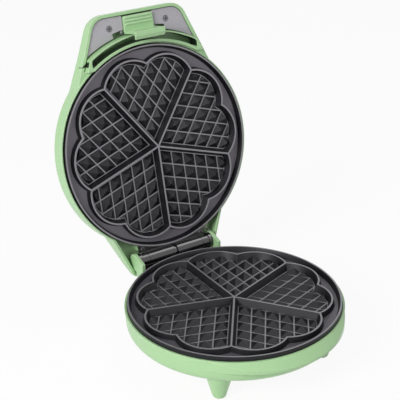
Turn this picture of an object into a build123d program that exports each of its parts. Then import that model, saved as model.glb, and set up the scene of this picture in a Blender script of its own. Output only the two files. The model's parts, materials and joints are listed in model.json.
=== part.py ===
"""Heart waffle maker: two round baking plates with five hearts in a hinged case with a latch.

The pieces are drawn with the lid closed: X to the right, Y to the hinge, Z up, with the origin at the
centre of the lower plate's edge. At the end the lid group is turned open about the hinge pin, and the
whole part is moved so that its origin is the centre of its box, at the height of the feet.
"""
from build123d import *
import math
import os

# Baking plates
plate_radius = 95.0
rim_height = 4.0
rim_top_outer = 94.7
rim_top_inner = 93.2
rim_foot = 91.2
channel_z = -1.0
flange_inner = 90.5
flange_thickness = 3.2
floor_z = -2.5
floor_thickness = 3.0
plate_gap = 0.5
seat_gap = 0.1
side_gap = 0.3

# Heart pattern
heart_count = 5
notch_radius = 78.0
lobe_radius = 30.4
ridge_half = 0.8
ridge_run_outer = 1.6
ridge_run_inner = 2.6
cell_pitch = 12.2
valley_width = 1.2
pyramid_height = 4.0
cell_draft = 1.5
sliver_volume = 3.0
flower_sunk = 0.5
boss_sunk = 0.5

# Base shell
wall = 2.5
lip_radius = 97.2
lip_height = 3.2
body_radius = 96.6
base_depth = 24.0
base_corner_start = 10.0
base_flat_radius = 74.0
ledge_inner = 91.6
ledge_thickness = 2.5
catch_centre = 20.0
catch_half_angle = 46.0
catch_depth = 9.0
front_foot_radius = 15.5
rear_foot_radius = 9.5
foot_tip_radius = 5.6
foot_wall = 2.0
foot_height = 21.6
foot_tip_round = 2.2
front_foot = (54.2, -57.5)
rear_foot = (36.0, 82.0)
rear_foot_top = -8.0
pad_radius = 3.0
pad_thickness = 1.6
pad_stand = 0.4

# Plate fixings
boss_circle = 70.0
boss_angles = (45, 135, 245, 295)
boss_radius = 4.2
boss_length = 8.6
pilot_roof = 1.5
post_radius = 6.5
screw_radius = 1.5
screw_head_radius = 2.9
screw_head_height = 1.9
clearance = 0.2
thread_gap = 0.05
small_screw_radius = 1.25
small_head_radius = 2.3
cross_depth = 1.0
cross_length = 3.2
cross_width = 0.7
plate_screw_seat = -19.0
plate_screw_tip = -8.0

# Heating
element_radius = 3.3
element_circle = 56.0
element_gap_angle = 15.0
element_lead_radius = 9.0
element_lead_length = 8.0
clamp_angles = (20, 160, 215, 325)
clamp_width = 9.0
clamp_sheet = 0.8
clamp_gap = 0.3
clamp_foot = 6.4
clamp_screw_offset = 3.3
clamp_screw_depth = 2.0
reflector_sheet = 0.6
reflector_radius = 80.0
reflector_rim_radius = 86.0
reflector_gap = 1.8
reflector_rim_gap = 0.3
lead_pin_radius = 1.2
lead_pin_length = 4.0
lead_hole_radius = 5.0
thermostat_radius = 8.5
thermostat_height = 10.0
thermostat_strap = (15.5, 5.0, 1.0)
thermostat_screw_x = 12.4
fuse_radius = 1.8
fuse_at = (20.0, 33.0, -9.0)
terminal_size = (30.0, 10.0, 6.2)
terminal_y = 63.0
wire_radius = 1.1

# Cord inlet
cord_angle = 48.0
cord_z = -12.0
cord_bore = 3.2
grommet_neck = 4.6
grommet_flange = 5.8
grommet_flange_thickness = 1.6
grommet_nose = 9.0
cord_boss_depth = 6.0
cord_boss_radius = 7.8

# Lid shell
lid_lip_z = 7.0
lid_pocket_radius = 96.0
lid_corner_start = 21.5
lid_height = 39.5
dome_pull = ((1.0, 0.0), (1.0, 0.62), (0.55, 1.0), (0.0, 1.0))
handle_reach = 127.5
handle_half_front = 45.5
handle_half_root = 64.6
handle_root_y = 80.0
handle_low_z = 8.5
handle_corner = 17.0
handle_wall = 2.8
handle_round = 6.0
handle_top = ((-60.0, 31.0), (-75.0, 28.6), (-90.0, 26.4), (-105.0, 25.0), (-118.0, 23.4), (-127.5, 18.0))
slot_inner = 99.3
slot_outer = 105.6
slot_half = 55.0
slot_corner_outer = 4.0
slot_corner_inner = 1.2
slot_wall_top = 16.0
surround_z = 2.0
surround_inner = 96.9
surround_outer = 107.0
surround_inset = 3.8
surround_end_y = -80.8
cheek_root = (60.6, 75.0)
cheek_end = (43.6, 117.0)
cheek_corner = 4.0
rear_top = ((60.0, 31.0), (75.0, 28.0), (90.0, 24.5), (104.0, 21.0), (117.0, 14.5))
rear_round = 4.0

# Hinge
lid_opening = 102.7
barrel_radius = 6.6
barrel_gap = 0.9
pin_radius = 2.5
running_gap = 0.05
sleeve_end = 29.2
centre_knuckle = 1.3
centre_knuckle_radius = 5.0
moving_gap = 0.3
knuckle_end = 36.6
bracket_end = 39.9
bracket_radius = 7.6
pin_end = 42.0
ear_outer = 43.2
ear_inner = 40.2
ear_radius = 8.2
cradle_inner = 8.4
cradle_outer = 11.4
cradle_floor_z = -8.5
cradle_half = 41.5
cradle_stop_y = 98.8
leaf_sheet = 1.6
leaf_gap = 0.3
leaf_edge_gap = 0.7
leaf_boss_radius = 4.0
leaf_boss_drop = 3.0
base_leaf_screw_at = (20.0, 92.2)
lid_leaf_z = 5.7
lid_leaf_half = 36.2
lid_screw_at = (32.1, 92.9)
lid_leaf_edge = 95.1
lid_boss_radius = 2.9
lid_screw_head = 1.2
lid_screw_head_radius = 2.5
lid_screw_tip = 16.0

# Handle cover and latch
cover_z = 9.7
cover_thickness = 2.0
cover_edge = 108.5
cover_gap = 0.6
cover_screw_at = (29.3, -114.3)
cover_screw_tip = 19.0
cover_boss_radius = 3.8
window_radius = 112.6
window_half_angle = 14.2
notch_half = 15.7
latch_half = 15.1
grip_front = 123.2
grip_z = 7.8
grip_thickness = 2.4
rib_places = (-121.5, -118.5, -115.5)
rib_width = 1.2
rib_height = 0.6
hook_back = 109.8
hook_thickness = 2.3
hook_low_z = -12.5
hook_lip = 7.2
hook_lip_height = 3.1
hook_lip_slope = 1.6
latch_pin_y = -112.0
latch_pin_z = 13.2
latch_pin_radius = 1.5
latch_pin_half = 18.2
latch_boss_radius = 3.0
spring_room = 5.0
spring_radius = 2.2
spring_wire = 0.4
spring_pitch = 1.1
spring_turns = 7
pin_wall_inner = 16.0
pin_wall_outer = 18.0
pin_wall_front = 118.5
pin_wall_back = 108.3
bridge_z = 16.6
bridge_thickness = 1.6

# Lead between the halves, drawn with the lid open
lead_x = 44.7
lead_radius = 1.1
lead_exit_z = -7.6
lead_points = ((76.0, -10.5), (82.0, -7.6), (88.0, -7.4), (97.0, -3.0), (101.5, 3.0), (106.0, 8.5),
               (113.0, 10.2))
lead_bend = 3.0

# Lamps on the lid
lamp_x = 8.0
lamp_y = -64.0
lamp_radius = 3.0
lamp_flange = 4.2
lamp_proud = 0.8
lamp_low_z = 31.6
lamp_holder_size = (30.0, 9.0, 1.6)
bulb_radius = 2.2
bulb_length = 2.6

# Clips that hold the upper plate
clip_width = 10.0
clip_sheet = 1.2
clip_inner = 63.0
clip_bend = 85.0
clip_foot = 90.0
clip_reach = 93.6


def disc(radius, low, high, x=0.0, y=0.0):
    """Upright cylinder between two heights."""
    aligned = (Align.CENTER, Align.CENTER, Align.MIN)
    return Pos(x, y, low) * Cylinder(radius, high - low, align=aligned)


def frustum(radius_low, radius_high, low, high, x=0.0, y=0.0):
    """Upright cone between two heights."""
    aligned = (Align.CENTER, Align.CENTER, Align.MIN)
    return Pos(x, y, low) * Cone(radius_low, radius_high, high - low, align=aligned)


def block(x0, x1, y0, y1, z0, z1):
    """Box between two corners."""
    centre = Pos((x0 + x1) / 2, (y0 + y1) / 2, (z0 + z1) / 2)
    return centre * Box(x1 - x0, y1 - y0, z1 - z0)


def rod(radius, x0, x1, y, z):
    """Cylinder along X."""
    aligned = (Align.CENTER, Align.CENTER, Align.MIN)
    return Pos(x0, y, z) * Rot(0, 90, 0) * Cylinder(radius, x1 - x0, align=aligned)


def turned(edges):
    """Solid of revolution about Z from edges drawn as (radius, height)."""
    return revolve(Plane.XZ * make_face(edges), Axis.Z)


def plan_prism(face, low, high):
    """Flat outline in XY raised between two heights."""
    return Pos(0, 0, low) * extrude(face, high - low, dir=(0, 0, 1))


def side_prism(face, x0, x1):
    """Outline drawn as (y, z) carried along X."""
    return Pos(x0, 0, 0) * extrude(Plane.YZ * face, x1 - x0, dir=(1, 0, 0))


def polar(radius, degrees):
    """Point at a radius and an angle from +X."""
    return (radius * math.cos(math.radians(degrees)), radius * math.sin(math.radians(degrees)))


def both_sides(shape):
    """A shape and its mirror image across the YZ plane."""
    return [shape, mirror(shape, Plane.YZ)]


def fused(shapes):
    """One solid from overlapping shapes."""
    first, *others = shapes
    return first + others if others else first


# Baking plate

heart_half_angle = 180.0 / heart_count
plate_under = floor_z - floor_thickness
boss_end = plate_under - boss_length
pilot_end = plate_under - pilot_roof
lobe_offset = notch_radius * math.cos(math.radians(heart_half_angle / 2))
half_chord = notch_radius * math.sin(math.radians(heart_half_angle / 2))
lobe_centre = lobe_offset - math.sqrt(lobe_radius ** 2 - half_chord ** 2)


def lobe_at(side):
    """Centre of one lobe of the heart whose axis is +X."""
    return polar(lobe_centre, side * heart_half_angle / 2)


def wedge_face(z, inset, reach):
    """Kite-shaped face of one heart sector, with its sides moved in by inset."""
    tip = inset / math.sin(math.radians(heart_half_angle))
    half = (reach - tip) * math.tan(math.radians(heart_half_angle))
    outline = Polyline((tip, 0), (reach, half), (reach, -half), close=True)
    return Pos(0, 0, z) * make_face(outline)


def heart_form(inset_low, inset_high, low, high):
    """Solid of one heart, axis +X, whose edge is inset by two amounts at two heights."""
    reach = 2 * plate_radius
    wedge = loft([wedge_face(low, inset_low, reach), wedge_face(high, inset_high, reach)], ruled=True)
    lobes = [frustum(lobe_radius - inset_low, lobe_radius - inset_high, low, high, *lobe_at(side))
             for side in (-1, 1)]
    filler = block(0, lobe_centre * math.cos(math.radians(heart_half_angle / 2)),
                   -lobe_radius, lobe_radius, low, high)
    return wedge & (lobes[0] + lobes[1] + filler)


def pyramid(half_run):
    """Four-sided point on a rhombic cell whose sides lie along the heart's two straight sides."""
    angle = math.radians(heart_half_angle)
    reach = half_run / math.sin(2 * angle)
    along = (reach * math.cos(angle), reach * math.sin(angle))
    corners = [(2 * along[0], 0), (0, 2 * along[1]), (-2 * along[0], 0), (0, -2 * along[1])]
    sunk = 0.3
    scale_down = (pyramid_height + sunk) / pyramid_height
    base = [(x * scale_down, y * scale_down) for x, y in corners]
    low = Pos(0, 0, floor_z - sunk) * make_face(Polyline(*base, close=True))
    tip_scale = 0.02
    tips = [(x * tip_scale, y * tip_scale) for x, y in corners]
    high = Pos(0, 0, floor_z + pyramid_height) * make_face(Polyline(*tips, close=True))
    return loft([low, high], ruled=True)


def heart_pyramids():
    """Lattice of pyramids inside one heart."""
    angle = math.radians(heart_half_angle)
    inset = ridge_half + ridge_run_inner
    start = inset / math.sin(angle)
    step = cell_pitch / math.sin(2 * angle)
    cell = pyramid((cell_pitch - valley_width) / 2)
    edge = inset + valley_width / 2
    inside = heart_form(edge, edge + cell_draft, floor_z - 1, floor_z + pyramid_height + 1)
    cells = []
    steps = math.ceil(2 * lobe_radius / step) + 2
    for i in range(steps):
        for j in range(steps):
            x = start + (i + j + 1) * step * math.cos(angle)
            y = (i - j) * step * math.sin(angle)
            if math.hypot(x, y) < notch_radius + lobe_radius / 2:
                cells.append(Pos(x, y, 0) * cell)
    clipped = Compound(children=cells) & inside
    return [piece for piece in clipped.solids() if piece.volume > sliver_volume]


def baking_plate():
    """Cast plate with its relief up and its edge at height 0."""
    outline = Polyline(
        (0, plate_under), (flange_inner, plate_under), (flange_inner, -flange_thickness),
        (plate_radius, -flange_thickness), (plate_radius, 0), (rim_top_outer, rim_height),
        (rim_top_inner, rim_height), (rim_foot, channel_z), (0, channel_z), close=True)
    plate = turned(outline)
    outer_foot = -(ridge_half + ridge_run_outer)
    petals = [frustum(lobe_radius - outer_foot, lobe_radius + ridge_half,
                      channel_z - flower_sunk, rim_height, *lobe_at(side)) for side in (-1, 1)]
    core = disc(lobe_offset, channel_z - flower_sunk, rim_height)
    facings = [Rot(0, 0, -90 + 360 * turn / heart_count) for turn in range(heart_count)]
    plate += core + [facing * petal for facing in facings for petal in petals]
    well = heart_form(ridge_half + ridge_run_inner, ridge_half, floor_z, rim_height)
    plate -= [facing * well for facing in facings]
    points = heart_pyramids()
    plate += [facing * point for facing in facings for point in points]
    bosses = [disc(boss_radius, boss_end, plate_under + boss_sunk, *polar(boss_circle, angle))
              for angle in boss_angles]
    pilots = [disc(screw_radius + thread_gap, boss_end, pilot_end, *polar(boss_circle, angle))
              for angle in boss_angles]
    places = clamp_screw_places() + [(-thermostat_screw_x, 0), (thermostat_screw_x, 0)]
    clamp_pilots = [disc(screw_radius + thread_gap, plate_under, plate_under + clamp_screw_depth, x, y)
                    for x, y in places]
    return plate + bosses - pilots - clamp_pilots


# Places that follow from the sizes

mirror_z = 2 * rim_height + plate_gap
leaf_back_y = plate_radius + barrel_gap + barrel_radius + 0.5
hinge_y = plate_radius + barrel_gap + barrel_radius
hinge_z = mirror_z / 2
body_inner = body_radius - wall
pocket_radius = plate_radius + side_gap
seat_z = -(flange_thickness + seat_gap)
ledge_z = seat_z - ledge_thickness
base_floor_z = -base_depth + wall
foot_z = -base_depth - foot_height
element_z = plate_under - seat_gap - element_radius
reflector_z = element_z - element_radius - reflector_gap
leaf_top_z = -flange_thickness - leaf_gap
hole_radius = screw_radius + clearance


def clamp_screw_places():
    """Centres of the two screws of each heating element clamp."""
    reach = element_radius + clamp_sheet + clamp_screw_offset
    return [polar(element_circle + side * reach, angle) for angle in clamp_angles for side in (-1, 1)]


def upper(shape):
    """The same piece turned over onto the lid."""
    return Pos(0, 0, mirror_z) * Rot(0, 180, 0) * shape


def cross_recess(x, y, low, length=cross_length):
    """Cross-shaped cut for a driver."""
    halves = ((length / 2, cross_width / 2), (cross_width / 2, length / 2))
    return [block(x - a, x + a, y - b, y + b, low, low + cross_depth) for a, b in halves]


def pan_screw(x, y, seat, tip, head_radius=screw_head_radius, head_height=screw_head_height):
    """Round-head screw whose shaft runs from the seat to the tip."""
    side = 1 if tip < seat else -1
    head_end = seat + side * head_height
    head = disc(head_radius, min(seat, head_end), max(seat, head_end), x, y)
    rim = head.edges().filter_by(GeomType.CIRCLE).sort_by(Axis.Z)[-1 if side > 0 else 0]
    head = fillet(rim, head_height * 0.4)
    shaft = disc(screw_radius, min(seat, tip), max(seat, tip), x, y)
    recess = cross_recess(x, y, head_end - cross_depth if side > 0 else head_end)
    return head + shaft - recess


def flat_screw(x, y, seat, tip, radius=screw_radius, head_radius=screw_head_radius):
    """Countersunk screw whose head is level with the seat."""
    depth = head_radius - radius
    if tip < seat:
        head = frustum(radius, head_radius, seat - depth, seat, x, y)
        recess = cross_recess(x, y, seat - cross_depth, 1.2 * head_radius)
    else:
        head = frustum(head_radius, radius, seat, seat + depth, x, y)
        recess = cross_recess(x, y, seat, 1.2 * head_radius)
    return head + disc(radius, min(seat, tip), max(seat, tip), x, y) - recess


def flat_screw_hole(x, y, seat, through, radius=screw_radius, head_radius=screw_head_radius):
    """Countersunk hole for a flat screw, from the seat to the far side."""
    depth = head_radius - radius
    wide = head_radius + clearance
    narrow = radius + clearance
    if through < seat:
        cone = frustum(narrow, wide, seat - depth, seat, x, y)
    else:
        cone = frustum(wide, narrow, seat, seat + depth, x, y)
    return cone + disc(narrow, min(seat, through), max(seat, through), x, y)


def tube(points, radius, bend):
    """Round wire or cable along rounded corners."""
    path = FilletPolyline(*points, radius=bend)
    section = Plane(origin=path @ 0, z_dir=path % 0) * Circle(radius)
    return sweep(section, path=path)


def group(shapes):
    """Separate solids of one sub-part."""
    return Compound(children=[solid for shape in shapes for solid in shape.solids()])


# Base shell

def bowl_face(top_radius, side_radius, top, step, corner, bottom, flat):
    """Half section of the bowl, as (radius, height)."""
    depth = corner - bottom
    if top > step:
        side = Polyline((0, top), (top_radius, top), (top_radius, step), (side_radius, step),
                        (side_radius, corner))
    else:
        side = Polyline((0, top), (side_radius, top), (side_radius, corner))
    bend = Bezier((side_radius, corner), (side_radius, corner - 0.75 * depth),
                  (side_radius - 0.2 * (side_radius - flat), bottom), (flat, bottom))
    floor_line = Polyline((flat, bottom), (0, bottom), (0, top))
    return [side, bend, floor_line]


def base_void():
    """Space inside the base: plate seat, ledge opening and bowl."""
    bowl = turned(bowl_face(body_inner, body_inner, ledge_z, ledge_z, -base_corner_start,
                            base_floor_z, base_flat_radius))
    opening = disc(ledge_inner, ledge_z - 1, 1)
    seat = disc(pocket_radius, seat_z, 1)
    return bowl + opening + seat


def foot_root(y):
    """Radius of a foot where it leaves the bowl; the front ones flare out more."""
    return front_foot_radius if y < 0 else rear_foot_radius


def foot(x, y):
    """Moulded foot, wide where it leaves the bowl; the rear ones reach the hinge cradle."""
    top = -base_corner_start if y < 0 else rear_foot_top
    cone = frustum(foot_tip_radius, foot_root(y), foot_z, top, x, y)
    tip = cone.edges().filter_by(GeomType.CIRCLE).sort_by(Axis.Z)[0]
    return fillet(tip, foot_tip_round)


def foot_hollow(x, y):
    """Space inside a foot, open to the bowl, and the recess of its pad."""
    inner = frustum(foot_tip_radius - foot_wall, foot_root(y) - foot_wall,
                    foot_z + foot_wall + pad_thickness, -base_corner_start, x, y)
    return inner + disc(pad_radius + clearance, foot_z - 1, foot_z + pad_thickness - pad_stand, x, y)


def front_catch():
    """Crescent that swells out of the front of the lip; the latch hooks under it."""
    spread = math.cos(math.radians(catch_half_angle))
    radius = math.sqrt(lip_radius ** 2 + catch_centre ** 2 - 2 * lip_radius * catch_centre * spread)
    swell = disc(radius, -catch_depth, 0, 0, -catch_centre)
    slope = frustum(lip_radius + catch_depth, lip_radius, -catch_depth, 0)
    return swell & slope


def cradle_section():
    """Section (y, z) of the trough below the hinge barrel."""
    ring = Pos(hinge_y, hinge_z) * Circle(cradle_outer)
    front = ledge_inner - 8
    middle = Pos((front + cradle_stop_y) / 2, cradle_floor_z / 2)
    filler = middle * Rectangle(cradle_stop_y - front, -cradle_floor_z)
    lower = Pos(hinge_y, -cradle_outer) * Rectangle(6 * cradle_outer, 2 * cradle_outer)
    return (ring + filler) & lower


def ear_section():
    """Section (y, z) of one hinge ear: round over the pin, sloping down to the rim."""
    front = lip_radius * math.cos(math.asin(ear_inner / lip_radius)) - 1
    slope = Polyline((front, cradle_floor_z), (front, hinge_z + ear_radius / 2),
                     (hinge_y - ear_radius / 4, hinge_z + ear_radius * 0.968), (hinge_y, hinge_z),
                     (cradle_stop_y, cradle_floor_z), close=True)
    return make_face(slope) + Pos(hinge_y, hinge_z) * Circle(ear_radius)


def base_shell():
    """Bowl with rim lip, catch, feet, screw posts and hinge cradle."""
    outer = turned(bowl_face(lip_radius, body_radius, 0, -lip_height, -base_corner_start,
                             -base_depth, base_flat_radius))
    feet = [(side * x, y) for side in (-1, 1) for x, y in (front_foot, rear_foot)]
    cradle = side_prism(cradle_section(), -cradle_half, cradle_half)
    shell = outer + front_catch() + cradle + [foot(x, y) for x, y in feet]
    shell -= base_void()
    posts = [disc(post_radius, base_floor_z - 1, reflector_z - reflector_sheet, *polar(boss_circle, a))
             for a in boss_angles]
    leaf_bosses = [disc(leaf_boss_radius, cradle_floor_z - leaf_boss_drop, ledge_z, side * x, y) & outer
                   for side in (-1, 1) for x, y in (base_leaf_screw_at,)]
    shelf = block(-ear_inner, ear_inner, 0, plate_radius, cradle_floor_z, ledge_z + 0.1) & outer
    shell += cord_boss() & outer
    shell += posts + leaf_bosses + [shelf - disc(ledge_inner, cradle_floor_z - 1, 0)]
    shell -= [foot_hollow(x, y) for x, y in feet]
    cups = [disc(boss_radius + side_gap, boss_end - seat_gap, 0, *polar(boss_circle, a)) for a in boss_angles]
    bores = [disc(hole_radius, -base_depth - 1, 0, *polar(boss_circle, a)) for a in boss_angles]
    heads = [disc(screw_head_radius + clearance, -base_depth - 1, plate_screw_seat, *polar(boss_circle, a))
             for a in boss_angles]
    shell -= cups + bores + heads
    shell -= block(-ear_inner, ear_inner, ledge_inner - 8, leaf_back_y, leaf_top_z - leaf_sheet - seat_gap, 1)
    shell -= rod(cradle_inner, -ear_inner, ear_inner, hinge_y, hinge_z)
    ear = side_prism(ear_section(), ear_inner, ear_outer)
    shell += [piece - base_void() for piece in both_sides(ear)]
    shell -= rod(pin_radius + clearance, -pin_end - seat_gap, pin_end + seat_gap, hinge_y, hinge_z)
    leaf_pilots = [disc(small_screw_radius + thread_gap, cradle_floor_z - leaf_boss_drop + 1, 0, side * x, y)
                   for side in (-1, 1) for x, y in (base_leaf_screw_at,)]
    lead_hole = Pos(lead_x, body_radius, lead_exit_z) * Rot(90, 0, 0) * Cylinder(lead_radius + moving_gap, 40)
    return shell - leaf_pilots - cord_hole() - (lead_hole & disc(lip_radius + 1, -base_depth, 0))


def cord_way():
    """Place and direction of the cord inlet: level, through the rear right of the bowl."""
    return Rot(0, 0, cord_angle) * Pos(body_radius, 0, cord_z) * Rot(0, 90, 0)


def cord_boss():
    """Flat-ended thickening inside the bowl round the cord inlet."""
    aligned = (Align.CENTER, Align.CENTER, Align.MAX)
    return cord_way() * Cylinder(cord_boss_radius, cord_boss_depth, align=aligned)


def cord_hole():
    """Round hole in the bowl for the grommet."""
    aligned = (Align.CENTER, Align.CENTER, Align.CENTER)
    return cord_way() * Cylinder(grommet_neck + clearance, 4 * cord_boss_depth, align=aligned)


def cord_grommet():
    """Bush of the cord inlet: flange outside, neck through the wall, flange inside, short nose."""
    inner = -cord_boss_depth - seat_gap
    outer = side_gap + grommet_flange_thickness
    section = Polyline(
        (cord_bore, inner - grommet_flange_thickness), (grommet_flange, inner - grommet_flange_thickness),
        (grommet_flange, inner), (grommet_neck, inner), (grommet_neck, side_gap), (grommet_flange, side_gap),
        (grommet_flange, outer), (grommet_neck, outer), (cord_bore + 1.2, grommet_nose),
        (cord_bore, grommet_nose), close=True)
    return cord_way() * turned(section)


def plate_screw(angle):
    """Screw of the lower plate; its head is below, in the post of the base."""
    head_low = plate_screw_seat - screw_head_height
    x, y = polar(boss_circle, angle)
    head = disc(screw_head_radius, head_low, plate_screw_seat, x, y)
    shaft = disc(screw_radius, plate_screw_seat, plate_screw_tip, x, y)
    return head + shaft - cross_recess(x, y, head_low)


def foot_places():
    """Centres of the four feet."""
    return [(side * x, y) for side in (-1, 1) for x, y in (front_foot, rear_foot)]


def foot_pad(x, y):
    """Rubber pad let into the end of a foot."""
    return disc(pad_radius, foot_z - pad_stand, foot_z - pad_stand + pad_thickness, x, y)


# Heating parts, drawn for the base; the lid has the same ones turned over

def heating_element():
    """Tubular ring under the plate, its two ends turned outwards at the rear."""
    ring = CenterArc((0, 0, element_z), element_circle, -90, 180 - element_gap_angle)
    turn = JernArc(ring @ 1, ring % 1, element_lead_radius, -90)
    lead = Line(turn @ 1, turn @ 1 + (turn % 1) * element_lead_length)
    path = Wire([ring, turn, lead])
    half = sweep(Plane(origin=path @ 0, z_dir=path % 0) * Circle(element_radius), path=path)
    pin_end_point = lead @ 1 + (lead % 1) * lead_pin_length
    pin = Line(lead @ 1 - (lead % 1), pin_end_point)
    half += sweep(Plane(origin=pin @ 0, z_dir=pin % 0) * Circle(lead_pin_radius), path=pin)
    return fused(both_sides(half))


def lead_end(side=1):
    """Tip of the contact pin at one end of the heating element."""
    turn_angle = 90 - element_gap_angle
    ring_end = Vector(*polar(element_circle, turn_angle))
    outward = Vector(*polar(1, turn_angle))
    back = Vector(-outward.Y, outward.X)
    tip = ring_end + (outward + back) * element_lead_radius
    tip += outward * (element_lead_length + lead_pin_length)
    return (side * tip.X, tip.Y, element_z)


def element_clamp(angle):
    """Sheet strap bent round the heating element."""
    inner = element_radius + clamp_gap
    outer = inner + clamp_sheet
    under = plate_under - seat_gap
    section = Pos(0, element_z) * Circle(outer)
    section += Pos(0, (under + element_z) / 2) * Rectangle(2 * outer, under - element_z)
    section += Pos(0, under - clamp_sheet / 2) * Rectangle(2 * (outer + clamp_foot), clamp_sheet)
    section -= Pos(0, element_z) * Circle(inner)
    section -= Pos(0, (under + element_z) / 2 + 0.5) * Rectangle(2 * inner, under - element_z + 1)
    section -= Pos(0, under + outer) * Rectangle(3 * outer, 2 * outer)
    strap = Pos(element_circle, 0, 0) * extrude(Plane.XZ * section, clamp_width / 2, both=True)
    strap = Rot(0, 0, angle) * strap
    reach = element_radius + clamp_sheet + clamp_screw_offset
    places = [polar(element_circle + side * reach, angle) for side in (-1, 1)]
    holes = [disc(hole_radius, under - 2 * clamp_sheet, under + 1, x, y) for x, y in places]
    return strap - holes


def clamp_screw(x, y):
    """Screw of a heating element clamp."""
    return pan_screw(x, y, plate_under - seat_gap - clamp_sheet, plate_under + clamp_screw_depth - 0.2)


def reflector():
    """Bright sheet tray behind the heating element."""
    rim_z = plate_under - reflector_rim_gap
    section = Polyline(
        (0, reflector_z), (reflector_radius, reflector_z), (reflector_rim_radius, rim_z),
        (reflector_rim_radius + reflector_sheet, rim_z),
        (reflector_radius + reflector_sheet, reflector_z - reflector_sheet),
        (0, reflector_z - reflector_sheet), close=True)
    low = reflector_z - 1
    tray = turned(section)
    tray -= [disc(boss_radius + side_gap, low, plate_under, *polar(boss_circle, a)) for a in boss_angles]
    tray -= disc(thermostat_radius + 1.5, low, plate_under)
    x, y, _ = lead_end()
    return tray - [disc(lead_hole_radius, low, plate_under, side * x, y - 1) for side in (-1, 1)]


def thermostat():
    """Snap-disc thermostat against the plate, on a strap, with two blade contacts."""
    top = plate_under - seat_gap
    half_x, half_y, sheet = thermostat_strap
    bottom = top - thermostat_height
    body = disc(thermostat_radius, bottom, top - sheet / 2)
    body += disc(thermostat_radius - 2.5, bottom - 1.4, bottom)
    strap = block(-half_x, half_x, -half_y, half_y, top - sheet, top)
    strap -= [disc(hole_radius, top - 2 * sheet, top + 1, side * thermostat_screw_x, 0) for side in (-1, 1)]
    blades = [block(x - 0.4, x + 0.4, -3.1, 3.1, bottom - 5, bottom - 1) for x in (-3.6, 3.6)]
    return body + strap + blades


def thermal_fuse():
    """Small fuse in its sleeve, against the plate."""
    x0, x1, y = fuse_at
    z = plate_under - seat_gap - fuse_radius
    return rod(fuse_radius, x0, x1, y, z) + rod(0.5, x0 - 5, x1 + 5, y, z)


def terminal_block():
    """Three-way terminal block on the floor of the base."""
    length, depth, height = terminal_size
    low = base_floor_z + seat_gap
    body = block(-length / 2, length / 2, terminal_y - depth / 2, terminal_y + depth / 2, low, low + height)
    for x in (-length / 3, 0, length / 3):
        for y in (terminal_y - depth / 4, terminal_y + depth / 4):
            body -= disc(1.7, low + height - 2.4, low + height + 1, x, y)
        side_hole = Cylinder(wire_radius + 0.1, depth + 2)
        body -= Pos(x, terminal_y, low + height / 3) * Rot(90, 0, 0) * side_hole
    return body


def base_wiring():
    """Wires from the terminal block to the thermostat and the heating element."""
    block_z = base_floor_z + seat_gap + terminal_size[2] / 3
    rear_face = terminal_y + terminal_size[1] / 2
    front_face = terminal_y - terminal_size[1] / 2
    x_out = terminal_size[0] / 3
    blade_z = plate_under - seat_gap - thermostat_height - 3.4
    end_x, end_y, end_z = lead_end()
    under = reflector_z - reflector_sheet - 2.1
    beside = 4.0 + wire_radius + seat_gap
    runs = [
        [(x_out, front_face + 2, block_z), (x_out, 25, block_z), (beside, 10, blade_z),
         (beside, 1.5, blade_z)],
        [(-beside, 1.5, blade_z), (-beside, 12, blade_z), (-28, 40, under), (-28, 62, under),
         (-end_x, end_y, under), (-end_x, end_y, end_z - lead_pin_radius - 0.9)],
        [(-x_out, rear_face - 2, block_z), (-x_out, rear_face + 4, block_z), (end_x - 4, end_y + 4, under),
         (end_x, end_y, under + 1), (end_x, end_y, end_z - lead_pin_radius - 0.9)],
    ]
    return group([tube(run, wire_radius, 1.6) for run in runs])


# Hinge

def sleeve_pair(x0, x1, radius):
    """A piece of barrel on each side of the middle."""
    return both_sides(rod(radius, x0, x1, hinge_y, hinge_z))


def pin_hole():
    """Bore for the hinge pin."""
    return rod(pin_radius + running_gap, -pin_end - 1, pin_end + 1, hinge_y, hinge_z)


def hinge_base_leaf():
    """Fixed half of the hinge: jogged leaf, outer knuckles with bracket ears, and a middle knuckle."""
    jog_top = hinge_z - barrel_radius - moving_gap
    under_plate = block(-knuckle_end, knuckle_end, 0, plate_radius + 3, leaf_top_z - leaf_sheet, leaf_top_z)
    under_plate -= disc(flange_inner + leaf_edge_gap, leaf_top_z - 3, leaf_top_z + 1)
    tail = block(-knuckle_end, knuckle_end, plate_radius + 0.5, hinge_y, leaf_top_z - leaf_sheet + seat_gap,
                 jog_top)
    leaf = under_plate + tail
    leaf += sleeve_pair(sleeve_end + moving_gap, knuckle_end, barrel_radius)
    leaf += sleeve_pair(knuckle_end, bracket_end, bracket_radius)
    leaf += rod(centre_knuckle_radius, -centre_knuckle, centre_knuckle, hinge_y, hinge_z)
    webs = [block(x0, x1, hinge_y - 3, hinge_y, jog_top - leaf_sheet / 2, hinge_z)
            for x0, x1 in ((-centre_knuckle, centre_knuckle), (sleeve_end + moving_gap, knuckle_end),
                           (-knuckle_end, -sleeve_end - moving_gap))]
    leaf += webs
    holes = [flat_screw_hole(side * base_leaf_screw_at[0], base_leaf_screw_at[1], leaf_top_z, leaf_top_z - 4,
                             small_screw_radius, small_head_radius) for side in (-1, 1)]
    return leaf - holes - pin_hole()


def hinge_base_screws():
    """Two countersunk screws of the fixed leaf."""
    x, y = base_leaf_screw_at
    tip = cradle_floor_z - leaf_boss_drop + 1.4
    return group([flat_screw(side * x, y, leaf_top_z, tip, small_screw_radius, small_head_radius)
                  for side in (-1, 1)])


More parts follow.
